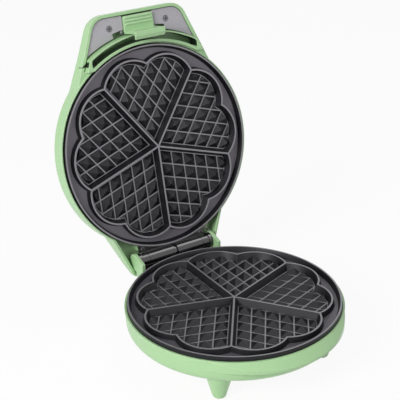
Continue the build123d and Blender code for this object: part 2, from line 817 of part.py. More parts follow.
def hinge_lid_leaf():
    """Moving half of the hinge: two long sleeves and the leaf screwed to the lid."""
    inner_end = centre_knuckle + moving_gap
    top = lid_leaf_z + leaf_sheet
    clear_of_knuckles = hinge_y - barrel_radius - moving_gap - 0.2
    leaf = block(-lid_leaf_half, lid_leaf_half, 0, clear_of_knuckles, lid_leaf_z, top)
    leaf += both_sides(block(inner_end, sleeve_end, clear_of_knuckles - 1, hinge_y - pin_radius - 2,
                             lid_leaf_z, top))
    neck_back = hinge_y - centre_knuckle_radius - moving_gap - 0.1
    leaf += block(-inner_end - 1, inner_end + 1, clear_of_knuckles - 1, neck_back, lid_leaf_z, top)
    leaf -= disc(lid_leaf_edge, lid_leaf_z - 1, top + 1)
    leaf += sleeve_pair(inner_end, sleeve_end, barrel_radius)
    x, y = lid_screw_at
    holes = [disc(hole_radius, lid_leaf_z - 1, top + 1, side * x, y) for side in (-1, 1)]
    return leaf - holes - pin_hole()


def hinge_pin():
    """Steel pin through all the knuckles."""
    return rod(pin_radius, -pin_end, pin_end, hinge_y, hinge_z)


def hinge_lid_screws():
    """Two black pan-head screws of the moving leaf."""
    x, y = lid_screw_at
    return group([pan_screw(side * x, y, lid_leaf_z, lid_screw_tip, lid_screw_head_radius, lid_screw_head)
                  for side in (-1, 1)])


# Lid shell

lid_seat_z = mirror_z - seat_z
lid_ledge_top = lid_seat_z + ledge_thickness


def lid_dome(shrink, low):
    """Solid under the dome, made smaller all round by an amount."""
    radius = lip_radius - shrink
    rise = lid_height - lid_corner_start - shrink
    points = [(radius * across, lid_corner_start + rise * up) for across, up in dome_pull]
    curve = Bezier(*points)
    sides = Polyline(points[-1], (0, low), (radius, low), points[0])
    return turned([sides, curve])


def handle_plan():
    """Outline of the handle seen from below."""
    corners = [(handle_half_root, -handle_root_y), (handle_half_front, -handle_reach)]
    slope = (corners[1][0] - corners[0][0]) / (corners[1][1] - corners[0][1])
    inside_y = handle_top[0][0]
    start_x = corners[0][0] + slope * (inside_y - corners[0][1])
    right = [(start_x, inside_y), corners[1]]
    left = [(-x, y) for x, y in reversed(right)]
    face = make_face(Polyline(*right, *left, close=True))
    return fillet(face.vertices().sort_by(Axis.Y)[:2], handle_corner)


def run_under(top_points, inner_y, shift):
    """Face (y, z) below a top line, moved towards the plate by a wall thickness."""
    line = Spline(*top_points)
    floor_z_here = -20
    sides = Polyline(line @ 1, (top_points[-1][0], floor_z_here), (inner_y, floor_z_here),
                     (inner_y, top_points[0][1]), line @ 0)
    towards = 1 if inner_y > top_points[-1][0] else -1
    return Pos(towards * shift, -shift) * make_face([line, sides])


def handle_form(shift, low):
    """Solid of the handle above a height, or the space inside its wall."""
    plan = offset(handle_plan(), -shift) if shift else handle_plan()
    form = plan_prism(plan, low, 2 * lid_height)
    form &= side_prism(run_under(handle_top, handle_top[0][0] + 1, shift), -lip_radius, lip_radius)
    return form


def rear_plan():
    """Outline of the rear of the lid, from the cheeks to the end behind the hinge."""
    right = [cheek_root, cheek_end]
    left = [(-x, y) for x, y in reversed(right)]
    face = make_face(Polyline(*right, *left, close=True))
    return fillet(face.vertices().sort_by(Axis.Y)[-2:], cheek_corner)


def rear_form(shift, low):
    """Solid of the rear of the lid above a height, or the space inside its wall."""
    plan = offset(rear_plan(), -shift) if shift else rear_plan()
    form = plan_prism(plan, low, 2 * lid_height)
    form &= side_prism(run_under(rear_top, rear_top[0][0] - 1, shift), -lip_radius, lip_radius)
    return form


def rounded_top(form, radius):
    """Round the edge between the top and the sides."""
    top = form.faces().filter_by(GeomType.PLANE, reverse=True).sort_by(Axis.Z)[-1]
    inner_end = form.faces().filter_by(Axis.Y).sort_by(lambda face: abs(face.center().Y))[0]
    shared = [edge for edge in top.edges() if abs(edge.center().Y - inner_end.center().Y) > 0.5]
    return fillet(shared, radius)


def ring_sector(r0, r1, half_angle, low, high):
    """Part of a ring centred on the front."""
    reach = 2 * r1
    edge = (reach * math.sin(math.radians(half_angle)), -reach * math.cos(math.radians(half_angle)))
    wedge = plan_prism(make_face(Polyline((0, 0), edge, (-edge[0], edge[1]), close=True)), low, high)
    return (disc(r1, low, high) - disc(r0, low - 1, high + 1)) & wedge


def slot_surround():
    """Raised lip round the arc-shaped slot between the dome and the handle."""
    ring = disc(surround_outer, surround_z, slot_wall_top) - disc(surround_inner, 0, slot_wall_top + 1)
    ring &= block(-lip_radius, lip_radius, -handle_reach, surround_end_y, 0, slot_wall_top)
    return ring & plan_prism(offset(handle_plan(), -surround_inset), surround_z, slot_wall_top)


def slot_hole():
    """Arc-shaped slot that opens into the hollow handle."""
    face = Circle(slot_outer) - Circle(slot_inner)
    face = face & Pos(0, -slot_outer) * Rectangle(2 * slot_half, slot_outer)
    corners = face.vertices().sort_by(Axis.Y)
    face = fillet(corners[:2], slot_corner_outer)
    inner = face.vertices().sort_by(Axis.Y)[-2:]
    return plan_prism(fillet(inner, slot_corner_inner), 0, slot_wall_top + 1)


def lid_shell():
    """Dome with its lip and ledge, running into the handle in front and round the hinge behind."""
    dome = lid_dome(0, lid_lip_z)
    shell = dome + rounded_top(handle_form(0, handle_low_z), handle_round)
    shell += rounded_top(rear_form(0, lid_lip_z), rear_round)
    surround = slot_surround()
    shell += surround
    inner = lid_dome(wall, lid_ledge_top) + disc(ledge_inner, lid_seat_z - 1, lid_ledge_top + 1)
    inner += disc(lid_pocket_radius, lid_lip_z - 1, lid_seat_z)
    shell -= inner
    shell -= rear_form(wall, lid_lip_z - 1)
    cavity = handle_form(handle_wall, handle_low_z - 1)
    cavity &= block(-lip_radius, lip_radius, -handle_reach, surround_end_y - 0.4, 0, 2 * lid_height)
    shell -= cavity - dome - surround
    shell -= slot_hole()
    x, y = lid_screw_at
    leaf_bosses = [disc(lid_boss_radius, lid_leaf_z + leaf_sheet + seat_gap, lid_height, side * x, y)
                   & rear_form(wall / 2, 0) for side in (-1, 1)]
    cx, cy = cover_screw_at
    cover_top = cover_z + cover_thickness + seat_gap
    cover_bosses = [disc(cover_boss_radius, cover_top, lid_height, side * cx, cy)
                    & handle_form(handle_wall / 2, 0) for side in (-1, 1)]
    lamp_boss = disc(lamp_radius, lamp_low_z, lid_height, 0, lamp_y) & lid_dome(wall / 2, 0)
    shell += leaf_bosses + cover_bosses + [lamp_boss]
    pilot = screw_radius + thread_gap
    shell -= [disc(pilot, 0, lid_screw_tip + 1, side * x, y) for side in (-1, 1)]
    shell -= [disc(pilot, 0, cover_screw_tip + 0.5, side * cx, cy) for side in (-1, 1)]
    shell -= disc(pilot, lamp_low_z - 1, lamp_low_z + 4, 0, lamp_y)
    return shell - [disc(lamp_radius + clearance, lamp_low_z - 8, 2 * lid_height, side * lamp_x, lamp_y)
                    for side in (-1, 1)]


# Handle cover, latch and its pin and spring

def latch_pin_bore(half):
    """Bore in which the pivot pin of the latch lies."""
    return rod(latch_pin_radius + running_gap, -half, half, latch_pin_y, latch_pin_z)


def handle_cover():
    """Inner cover of the handle, with the window of the latch and two walls that carry its pin."""
    top = cover_z + cover_thickness
    plate = plan_prism(offset(handle_plan(), -(handle_wall + cover_gap)), cover_z, top)
    plate -= disc(cover_edge, cover_z - 1, top + 1)
    notch = block(-notch_half, notch_half, -handle_reach, -pin_wall_back + 5, cover_z - 1, top + 0.01)
    window = ring_sector(cover_edge - 1, window_radius, window_half_angle, cover_z - 1, top + 1)
    cover = plate - notch - window
    cover += both_sides(block(pin_wall_inner, pin_wall_outer, -pin_wall_front, -pin_wall_back, top - 0.5,
                              bridge_z + bridge_thickness))
    cover += block(-pin_wall_outer, pin_wall_outer, -pin_wall_front, -pin_wall_back, bridge_z,
                   bridge_z + bridge_thickness)
    cover -= latch_pin_bore(pin_wall_outer + 1)
    x, y = cover_screw_at
    return cover - [flat_screw_hole(side * x, y, cover_z, top + 1) for side in (-1, 1)]


def handle_screws():
    """Two cross-head screws of the handle cover."""
    x, y = cover_screw_at
    return group([flat_screw(side * x, y, cover_z, cover_screw_tip) for side in (-1, 1)])


def latch():
    """Ribbed grip plate on a pivot, with a hook that drops to the catch of the base."""
    top = grip_z + grip_thickness
    hook_front = hook_back - hook_thickness
    grip = block(-latch_half, latch_half, -grip_front, -hook_front, grip_z, top)
    grip = fillet(grip.edges().filter_by(Axis.Z).sort_by(Axis.Y)[:2], 1.5)
    ribs = [block(-latch_half + 1.5, latch_half - 1.5, y - rib_width / 2, y + rib_width / 2,
                  grip_z - rib_height, grip_z + 0.1) for y in rib_places]
    hook = block(-latch_half, latch_half, -hook_back, -hook_front, hook_low_z, top)
    lip_end = -hook_back + hook_lip
    section = Polyline((-hook_back, hook_low_z), (lip_end - 2 * hook_lip_slope, hook_low_z),
                       (lip_end, hook_low_z + hook_lip_slope), (lip_end, hook_low_z + hook_lip_height),
                       (-hook_back, hook_low_z + hook_lip_height), close=True)
    lip = side_prism(make_face(section), -latch_half, latch_half)
    bosses = both_sides(rod(latch_boss_radius, spring_room, latch_half, latch_pin_y, latch_pin_z))
    webs = both_sides(block(spring_room, latch_half, latch_pin_y - 2, latch_pin_y + latch_boss_radius - 0.4,
                            top - 0.5, latch_pin_z))
    return grip + ribs + hook + lip + bosses + webs - latch_pin_bore(latch_half + 1)


def latch_pin():
    """Pivot pin of the latch."""
    return rod(latch_pin_radius, -latch_pin_half, latch_pin_half, latch_pin_y, latch_pin_z)


def latch_spring():
    """Torsion spring round the latch pin, one leg on the cover, the other on the grip."""
    length = spring_turns * spring_pitch
    start = Pos(-length / 2, latch_pin_y, latch_pin_z)
    coil_path = start * Rot(0, 90, 0) * Helix(spring_pitch, length, spring_radius)
    coil = sweep(Plane(origin=coil_path @ 0, z_dir=coil_path % 0) * Circle(spring_wire), path=coil_path)
    legs = []
    for point, along, reach in ((coil_path @ 0, -(coil_path % 0), 3.0), (coil_path @ 1, coil_path % 1, 3.0)):
        run = Line(point, point + along * reach)
        legs.append(sweep(Plane(origin=run @ 0, z_dir=run % 0) * Circle(spring_wire), path=run))
    return coil + legs


# Fixings of the upper plate and the lamps

def upper_plate_clip(angle):
    """Bent strip from a boss of the upper plate to the back of the lid's ledge."""
    low = mirror_z - reflector_z + reflector_sheet + seat_gap
    foot_low = lid_ledge_top + seat_gap
    high = low + clip_sheet
    foot_high = foot_low + clip_sheet
    section = Polyline((clip_inner, low), (clip_bend, low), (clip_foot, foot_low), (clip_reach, foot_low),
                       (clip_reach, foot_high), (clip_foot + clip_sheet, foot_high),
                       (clip_bend + clip_sheet / 2, high), (clip_inner, high), close=True)
    strip = extrude(Plane.XZ * make_face(section), clip_width / 2, both=True)
    strip -= disc(hole_radius, low - 1, low + 2 * clip_sheet, boss_circle)
    return Rot(0, 0, angle) * strip


def upper_plate_screw(angle):
    """Screw through a clip and the reflector into a boss of the upper plate."""
    seat = mirror_z - reflector_z + reflector_sheet + seat_gap + clip_sheet
    return pan_screw(*polar(boss_circle, angle), seat, mirror_z - plate_screw_tip)


def lamp_lens(side):
    """Lens that stands slightly proud of the dome, flanged inside, bored for its bulb."""
    x = side * lamp_x
    head = disc(lamp_radius, lamp_low_z, 2 * lid_height, x, lamp_y) & lid_dome(-lamp_proud, 0)
    flange = disc(lamp_flange, lamp_low_z, 2 * lid_height, x, lamp_y) & lid_dome(wall + seat_gap, 0)
    return head + flange - disc(bulb_radius + clearance, lamp_low_z - 1, lamp_low_z + bulb_length, x, lamp_y)


def lamp_holder():
    """Strip below the lenses with the two small bulbs."""
    length, depth, sheet = lamp_holder_size
    top = lamp_low_z - seat_gap
    strip = block(-length / 2, length / 2, lamp_y - depth / 2, lamp_y + depth / 2, top - sheet, top)
    strip -= disc(hole_radius, top - 2 * sheet, top + 1, 0, lamp_y)
    bulbs = [disc(bulb_radius, top - sheet, top + bulb_length, side * lamp_x, lamp_y) for side in (-1, 1)]
    return strip + bulbs


def lamp_holder_screw():
    """Screw that holds the lamp strip to its post."""
    return pan_screw(0, lamp_y, lamp_low_z - seat_gap - lamp_holder_size[2], lamp_low_z + 3.5)


def opened(shape):
    """Turn a piece of the lid from its closed place to the open one."""
    return Pos(0, hinge_y, hinge_z) * Rot(-lid_opening, 0, 0) * Pos(0, -hinge_y, -hinge_z) * shape


def closed(x, y, z):
    """Where a point of the open lid lies when the lid is shut."""
    angle = math.radians(lid_opening)
    dy, dz = y - hinge_y, z - hinge_z
    return (x, hinge_y + dy * math.cos(angle) - dz * math.sin(angle),
            hinge_z + dy * math.sin(angle) + dz * math.cos(angle))


def lid_wiring():
    """Wires from the lead to both ends of the upper heating element and to the lamps."""
    over = mirror_z - reflector_z + reflector_sheet + wire_radius + 0.4
    end_x, end_y, end_z = lead_end()
    end_top = mirror_z - end_z + lead_pin_radius + wire_radius
    (y0, z0), (y1, z1) = lead_points[-2:]
    past = (wire_radius + 2 * seat_gap) / math.hypot(y1 - y0, z1 - z0)
    start = closed(lead_x, y1 + past * (y1 - y0), z1 + past * (z1 - z0))
    strip_z = lamp_low_z - seat_gap - lamp_holder_size[2] / 2
    strip_x = lamp_holder_size[0] / 2
    runs = [
        [start, (lead_x - 4, 86, 20.3), (30, 74, over + 0.8), (end_x, end_y, over), (end_x, end_y, end_top)],
        [(30, 77.5, over), (-end_x + 4, end_y + 2, over), (-end_x, end_y, end_top)],
        [(-end_x - 3, end_y - 3, over), (-30, 60, over), (-29, 2, over)],
        [(-29, 0, over), (-28, -50, over + 0.5), (-strip_x - 4, lamp_y, strip_z),
         (-strip_x - seat_gap, lamp_y, strip_z)],
    ]
    return group([tube(run, wire_radius, 1.6) for run in runs])


def hinge_lead():
    """Sleeved lead that crosses from the base to the lid beside the hinge, with the lid open."""
    return tube([(lead_x, y, z) for y, z in lead_points], lead_radius, lead_bend)


def at_bosses(piece):
    """One piece for each screwed boss of the plate."""
    return group([piece(angle) for angle in boss_angles])


def base_pieces(plate):
    """Sub-parts that stay with the base."""
    plate_screws = [plate_screw(angle) for angle in boss_angles]
    strap_seat = plate_under - seat_gap - thermostat_strap[2]
    strap_screws = [pan_screw(x, 0, strap_seat, plate_under + clamp_screw_depth - clearance)
                    for x in (-thermostat_screw_x, thermostat_screw_x)]
    return {
        "base_shell": base_shell(),
        "foot_pads": group([foot_pad(x, y) for x, y in foot_places()]),
        "lower_baking_plate": plate,
        "lower_heating_element": heating_element(),
        "lower_element_clamps": group([element_clamp(angle) for angle in clamp_angles]),
        "lower_clamp_screws": group([clamp_screw(x, y) for x, y in clamp_screw_places()]),
        "lower_heat_reflector": reflector(),
        "lower_plate_screws": group(plate_screws),
        "base_thermostat": thermostat(),
        "thermostat_screws": group(strap_screws),
        "thermal_fuse": thermal_fuse(),
        "terminal_block": terminal_block(),
        "base_wiring": base_wiring(),
        "cord_grommet": cord_grommet(),
        "hinge_base_leaf": hinge_base_leaf(),
        "hinge_base_screws": hinge_base_screws(),
        "hinge_pin": hinge_pin(),
        "hinge_lead": hinge_lead(),
    }


def lid_pieces(plate):
    """Sub-parts that turn with the lid, drawn closed."""
    return {
        "lid_shell": lid_shell(),
        "upper_baking_plate": upper(plate),
        "upper_heating_element": upper(heating_element()),
        "upper_element_clamps": upper(group([element_clamp(angle) for angle in clamp_angles])),
        "upper_clamp_screws": upper(group([clamp_screw(x, y) for x, y in clamp_screw_places()])),
        "upper_heat_reflector": upper(reflector()),
        "upper_plate_clips": at_bosses(upper_plate_clip),
        "upper_plate_screws": at_bosses(upper_plate_screw),
        "hinge_lid_leaf": hinge_lid_leaf(),
        "hinge_lid_screws": hinge_lid_screws(),
        "handle_cover": handle_cover(),
        "handle_cover_screws": handle_screws(),
        "latch_pin": latch_pin(),
        "latch_spring": latch_spring(),
        "power_lamp_lens": lamp_lens(-1),
        "ready_lamp_lens": lamp_lens(1),
        "lamp_holder": lamp_holder(),
        "lamp_holder_screw": lamp_holder_screw(),
        "lid_wiring": lid_wiring(),
        "latch": latch(),
    }


def all_pieces():
    """Every sub-part in its place in the open part, by name."""
    plate = baking_plate()
    pieces = base_pieces(plate)
    pieces.update({name: opened(shape) for name, shape in lid_pieces(plate).items()})
    box = Compound(children=[Pos() * shape for shape in pieces.values()]).bounding_box()
    centre = box.center()
    return {name: Pos(-centre.X, -centre.Y, -box.min.Z) * shape for name, shape in pieces.items()}


if __name__ == "__main__":
    os.makedirs("parts", exist_ok=True)
    for name, shape in all_pieces().items():
        export_step(shape, f"parts/{name}.step")
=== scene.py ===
"""The looks of the heart waffle maker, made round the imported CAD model, in metres."""

import json
import math

import bmesh
import bpy
from mathutils import Matrix, Vector

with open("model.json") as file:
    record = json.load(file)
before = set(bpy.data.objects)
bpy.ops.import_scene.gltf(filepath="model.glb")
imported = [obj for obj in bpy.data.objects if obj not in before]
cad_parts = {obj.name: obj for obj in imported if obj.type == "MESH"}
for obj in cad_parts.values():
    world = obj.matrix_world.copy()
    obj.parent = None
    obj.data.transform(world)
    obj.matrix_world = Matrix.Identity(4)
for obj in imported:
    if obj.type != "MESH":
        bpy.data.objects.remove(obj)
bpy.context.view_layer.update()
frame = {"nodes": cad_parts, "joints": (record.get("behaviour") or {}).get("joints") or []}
nodes = frame["nodes"]

# The part's own sizes, in millimetres, as in the CAD source.
hinge_above_plate = 4.25
hinge_behind_centre = 102.5
upper_plate_z = 8.5
slot_radii = (99.0, 105.9)
slot_depths = (3.2, 16.0)
slot_front = (84.6, 85.2)
channel_heights = (-1.4, -0.6)
crest_heights = (3.86, 3.97)
trough_heights = (-2.42, -2.32)
millimetres = 1000.0

# Places the looks need, in the frame: the hinge line, the opening angle and the way the plates face.
hinge = next(joint for joint in frame["joints"] if joint["name"] == "lid_hinge")
hinge_y = hinge["pos_m"][1]
hinge_z = hinge["pos_m"][2]
lid_opening = math.radians(hinge["range_deg"][1])
lip_z = hinge_z - hinge_above_plate / millimetres
centre_y = hinge_y - hinge_behind_centre / millimetres
up_of_lower = Vector((0, 0, 1))
up_of_upper = Vector((0, -math.sin(lid_opening), -math.cos(lid_opening)))


def lid_point(x, y, z):
    """Where a point of the lid is when it stands open; x, y and z are millimetres in the closed lid."""
    dy = y / millimetres + centre_y - hinge_y
    dz = z / millimetres + lip_z - hinge_z
    c = math.cos(lid_opening)
    s = math.sin(lid_opening)
    return Vector((x / millimetres, hinge_y + dy * c + dz * s, hinge_z - dy * s + dz * c))


def base_point(x, y, z):
    """A point of the base, from millimetres off the plates' centre."""
    return Vector((x / millimetres, y / millimetres + centre_y, z / millimetres + lip_z))


class Look:
    """One procedural material: a Principled shader, and short calls for the nodes that feed it."""

    def __init__(self, name):
        self.material = bpy.data.materials.new(name)
        self.material.use_nodes = True
        self.tree = self.material.node_tree
        self.shader = self.tree.nodes["Principled BSDF"]
        self.place = self.tree.nodes.new("ShaderNodeTexCoord").outputs["Object"]
        self.last_normal = None

    def put(self, node, socket, value):
        """Sets or links one input of a node."""
        target = node.inputs[socket]
        if isinstance(value, bpy.types.NodeSocket):
            self.tree.links.new(value, target)
        elif isinstance(value, tuple) and len(value) == 3 and target.type == "RGBA":
            target.default_value = (*value, 1)
        else:
            target.default_value = value

    def own(self, **values):
        """Sets the shader's own sockets, named with underscores for spaces."""
        for socket, value in values.items():
            self.put(self.shader, socket.replace("_", " "), value)

    def stretched(self, x, y, z):
        """The place in the object, scaled along each axis."""
        node = self.tree.nodes.new("ShaderNodeMapping")
        self.put(node, "Vector", self.place)
        node.inputs["Scale"].default_value = (x, y, z)
        return node.outputs["Vector"]

    def noise(self, scale, detail=3.0, rough=0.5, place=None):
        node = self.tree.nodes.new("ShaderNodeTexNoise")
        self.put(node, "Vector", place or self.place)
        self.put(node, "Scale", float(scale))
        self.put(node, "Detail", float(detail))
        self.put(node, "Roughness", float(rough))
        return node.outputs["Fac"]

    def cells(self, scale):
        node = self.tree.nodes.new("ShaderNodeTexVoronoi")
        self.put(node, "Vector", self.place)
        self.put(node, "Scale", float(scale))
        return node.outputs["Distance"]

    def maths(self, operation, a, b=0.0):
        node = self.tree.nodes.new("ShaderNodeMath")
        node.operation = operation
        self.put(node, 0, a)
        self.put(node, 1, b)
        return node.outputs[0]

    def along(self, vector, place=None):
        """How far a point lies along a vector."""
        node = self.tree.nodes.new("ShaderNodeVectorMath")
        node.operation = "DOT_PRODUCT"
        self.put(node, 0, place or self.place)
        node.inputs[1].default_value = vector
        return node.outputs["Value"]

    def span(self, value, low, high, to_low=0.0, to_high=1.0):
        """A value mapped from one span to another, held at its ends."""
        node = self.tree.nodes.new("ShaderNodeMapRange")
        self.put(node, "Value", value)
        self.put(node, "From Min", float(low))
        self.put(node, "From Max", float(high))
        self.put(node, "To Min", float(to_low))
        self.put(node, "To Max", float(to_high))
        return node.outputs["Result"]

    def band(self, value, low, high, soft):
        """1 between two values, 0 outside, with soft ends."""
        rise = self.span(value, low - soft, low + soft)
        fall = self.span(value, high - soft, high + soft, 1, 0)
        return self.maths("MULTIPLY", rise, fall)

    def inside_slot(self, centre, axis, front):
        """1 inside the arc-shaped slot, whose axis passes through a point; front points to the handle."""
        shift = self.tree.nodes.new("ShaderNodeVectorMath")
        shift.operation = "SUBTRACT"
        self.put(shift, 0, self.place)
        shift.inputs[1].default_value = centre
        offset = shift.outputs["Vector"]
        up = self.maths("MULTIPLY", self.along(axis, offset), millimetres)
        length = self.tree.nodes.new("ShaderNodeVectorMath")
        length.operation = "LENGTH"
        self.put(length, 0, offset)
        reach = self.maths("MULTIPLY", length.outputs["Value"], millimetres)
        squares = self.maths("SUBTRACT", self.maths("POWER", reach, 2.0), self.maths("POWER", up, 2.0))
        ring = self.band(self.maths("SQRT", squares), *slot_radii, 0.2)
        ahead = self.maths("MULTIPLY", self.along(front, offset), millimetres)
        ring = self.maths("MULTIPLY", ring, self.span(ahead, *slot_front))
        return self.maths("MULTIPLY", ring, self.band(up, *slot_depths, 0.8))

    def mix(self, factor, a, b):
        """Colour a where the factor is 0 and colour b where it is 1."""
        node = self.tree.nodes.new("ShaderNodeMix")
        node.data_type = "RGBA"
        self.put(node, 0, factor)
        for socket, value in ((6, a), (7, b)):
            self.put(node, socket, value)
        return node.outputs[2]

    def edges(self, radius, low=0.02, high=0.25):
        """1 along sharp edges, 0 on open faces."""
        round_normal = self.tree.nodes.new("ShaderNodeBevel")
        round_normal.samples = 6
        self.put(round_normal, "Radius", radius)
        true_normal = self.tree.nodes.new("ShaderNodeNewGeometry").outputs["Normal"]
        dot = self.tree.nodes.new("ShaderNodeVectorMath")
        dot.operation = "DOT_PRODUCT"
        self.put(dot, 0, round_normal.outputs["Normal"])
        self.put(dot, 1, true_normal)
        turn = self.maths("SUBTRACT", 1.0, dot.outputs["Value"])
        return self.span(turn, low, high)

    def softened(self, radius):
        """Rounds the shading of sharp edges, as a moulded or tumbled edge is."""
        node = self.tree.nodes.new("ShaderNodeBevel")
        node.samples = 6
        self.put(node, "Radius", radius)
        self.last_normal = node.outputs["Normal"]

    def bump(self, height, distance, strength):
        """Adds relief to what softened or an earlier bump has left."""
        node = self.tree.nodes.new("ShaderNodeBump")
        self.put(node, "Height", height)
        self.put(node, "Distance", distance)
        self.put(node, "Strength", strength)
        if self.last_normal:
            self.put(node, "Normal", self.last_normal)
        self.last_normal = node.outputs["Normal"]

    def done(self):
        """The material, with its last normal joined to the shader."""
        if self.last_normal:
            self.put(self.shader, "Normal", self.last_normal)
        return self.material


def green_plastic(name="pastel_green_plastic", shaded_slot=None):
    """Moulded satin plastic: a fine spark-eroded grain, a slow drift of tint and a painted highlight
    along its edges.

    The slot to shade is given as a point and two directions, as inside_slot takes them: there the plastic
    gets painted shade, near black.
    """
    look = Look(name)
    drift = look.noise(9, 2)
    grain = look.noise(1500, 2, 0.6)
    tint = look.mix(drift, (0.345, 0.562, 0.290), (0.388, 0.606, 0.320))
    fine = look.mix(look.span(grain, 0.3, 0.7, 0, 0.22), tint, (0.320, 0.530, 0.270))
    # Painted highlight: sharp edges are lightened towards a near-white green, as a lit edge looks.
    edge_lit_and_slot_shaded = look.mix(look.maths("MULTIPLY", look.edges(0.0009), 0.70), fine, (0.74, 0.90, 0.66))
    if shaded_slot:
        # Painted shade: the deep slot of the lid is coloured near black, where shade falls in it.
        edge_lit_and_slot_shaded = look.mix(look.inside_slot(*shaded_slot), edge_lit_and_slot_shaded, (0.012, 0.020, 0.012))
    scuffs = look.noise(60, 5, 0.65, look.stretched(1, 1, 0.25))
    look.own(Base_Color=edge_lit_and_slot_shaded, Roughness=look.span(scuffs, 0.3, 0.7, 0.27, 0.40))
    look.own(Specular_IOR_Level=0.5, Coat_Weight=0.12, Coat_Roughness=0.22)
    look.softened(0.0006)
    look.bump(grain, 0.00004, 0.35)
    look.bump(look.noise(26, 2), 0.0008, 0.05)
    return look.done()


def non_stick(name, normal, foot, shade, wear):
    """Cast and coated plate with painted light and shade: grey where it lies flat and near black on the
    drafted walls and pyramids as painted shade, with painted highlights on the channel floor, crests,
    troughs and edges.

    Heights are taken along the normal from the foot, which is the level of the plate's edge.
    """
    look = Look(name)
    height = look.maths("SUBTRACT", look.along(normal), foot)
    height = look.maths("MULTIPLY", height, millimetres)
    # Painted shade: the walls and pyramids, which turn away from the plate's normal, are coloured near
    # black and the flat faces grey.
    flat = look.along(normal, look.tree.nodes.new("ShaderNodeNewGeometry").outputs["True Normal"])
    level = look.span(flat, 0.93, 0.985)
    speck = look.noise(2100, 2, 0.7)
    cloud = look.noise(34, 4, 0.6)
    painted_wall_shade = look.mix(speck, (0.003, 0.003, 0.004), (0.012, 0.012, 0.015))
    # Painted light: the shade factor brightens or darkens one coating's greys, so each plate gets its own
    # painted light level.
    deep_grey, pale_grey = (
        tuple(shade * c for c in tint) for tint in ((0.050, 0.047, 0.055), (0.112, 0.105, 0.122))
    )
    grey = look.mix(speck, deep_grey, pale_grey)
    body = look.mix(level, painted_wall_shade, grey)
    # Painted highlight: the flat floor of the channel is lightened towards a pale grey sheen.
    channel = look.band(height, *channel_heights, 0.1)
    painted_lit_channel = look.maths("MULTIPLY", channel, level)
    body = look.mix(look.maths("MULTIPLY", painted_lit_channel, 0.45), body, (0.150, 0.142, 0.162))
    # Painted highlight: light lines along the tops of the ridges and the bottoms of the troughs, where
    # the light glints.
    crest = look.span(height, *crest_heights)
    trough = look.span(height, *trough_heights, 1, 0)
    painted_crest_highlight = look.maths("MULTIPLY", crest, level)
    line = look.maths("MAXIMUM", painted_crest_highlight, look.maths("MULTIPLY", trough, level))
    body = look.mix(look.maths("MULTIPLY", line, 0.8), body, (0.270, 0.262, 0.280))
    # Edge lightening, partly wear from use and partly a painted highlight along the edges; the wear
    # argument sets how strong it is.
    rubbed_and_highlit = look.maths("MULTIPLY", look.edges(0.0005, 0.03, 0.3), wear)
    body = look.mix(rubbed_and_highlit, body, (0.24, 0.235, 0.25))
    look.own(Base_Color=body, Metallic=0.35, Specular_IOR_Level=0.5)
    look.own(Roughness=look.span(cloud, 0.3, 0.7, 0.36, 0.50))
    look.softened(0.0004)
    look.bump(speck, 0.00006, 0.5)
    look.bump(cloud, 0.0004, 0.08)
    return look.done()


def painted_cover():
    """The handle's inner cover: light grey-violet with a fine speckle."""
    look = Look("speckled_grey_cover")
    speck = look.noise(1700, 3, 0.75)
    drift = look.noise(22, 3)
    base = look.mix(drift, (0.395, 0.378, 0.412), (0.470, 0.452, 0.482))
    mottled = look.mix(look.span(speck, 0.42, 0.66, 0, 0.75), base, (0.300, 0.282, 0.325))
    edge = look.mix(look.maths("MULTIPLY", look.edges(0.0006), 0.4), mottled, (0.66, 0.65, 0.68))
    look.own(Base_Color=edge, Roughness=look.span(speck, 0.3, 0.7, 0.42, 0.56))
    look.softened(0.0004)
    look.bump(speck, 0.00007, 0.4)
    return look.done()


def enamel_black(name, rough=0.14, light=(0.012, 0.012, 0.014)):
    """Black enamelled steel, glossy, with fine dust and a faint greying at its edges."""
    look = Look(name)
    dust = look.noise(300, 4, 0.6)
    base = look.mix(look.span(dust, 0.45, 0.8), (0.004, 0.004, 0.005), light)
    greyed = look.maths("MULTIPLY", look.edges(0.0004, 0.05, 0.4), look.span(dust, 0.4, 0.7, 0.1, 0.5))
    look.own(Base_Color=look.mix(greyed, base, (0.060, 0.060, 0.066)))
    look.own(Roughness=look.span(dust, 0.3, 0.7, rough, rough + 0.08))
    look.own(Specular_IOR_Level=0.6, Coat_Weight=0.9, Coat_Roughness=0.16)
    look.softened(0.0004)
    look.bump(look.noise(120, 2), 0.0003, 0.06)
    return look.done()


def plated_steel(name, tint, rough, brushed=(1, 1, 1)):
    """Bright or plated metal, with a brushed or tumbled surface and a faint tarnish."""
    look = Look(name)
    place = look.stretched(*brushed)
    strokes = look.noise(700, 4, 0.7, place)
    stain = look.noise(70, 4, 0.6)
    darker = tuple(0.62 * c for c in tint)
    base = look.mix(look.span(stain, 0.48, 0.75, 0, 0.7), tint, darker)
    grime = look.cells(260)
    base = look.mix(look.span(grime, 0.0, 0.5, 0.18, 0), base, darker)
    look.own(Base_Color=base, Metallic=0.92)
    look.own(Roughness=look.span(strokes, 0.3, 0.7, rough, rough + 0.16))
    look.softened(0.0003)
    look.bump(strokes, 0.00005, 0.3)
    return look.done()


def screw_head(name, tint, rough):
    """Screw steel: turned and tumbled, with painted shade in the cross and round the rim of the head."""
    look = Look(name)
    grain = look.noise(1400, 3, 0.6)
    base = look.mix(look.span(grain, 0.35, 0.7), tint, tuple(0.7 * c for c in tint))
    # Painted shade: the cross recess and the head's rim are darkened to near black.
    look.own(Base_Color=look.mix(look.edges(0.0007, 0.01, 0.12), base, (0.015, 0.015, 0.016)))
    look.own(Metallic=0.55, Roughness=look.span(grain, 0.3, 0.7, rough, rough + 0.15))
    look.bump(grain, 0.00005, 0.4)
    return look.done()


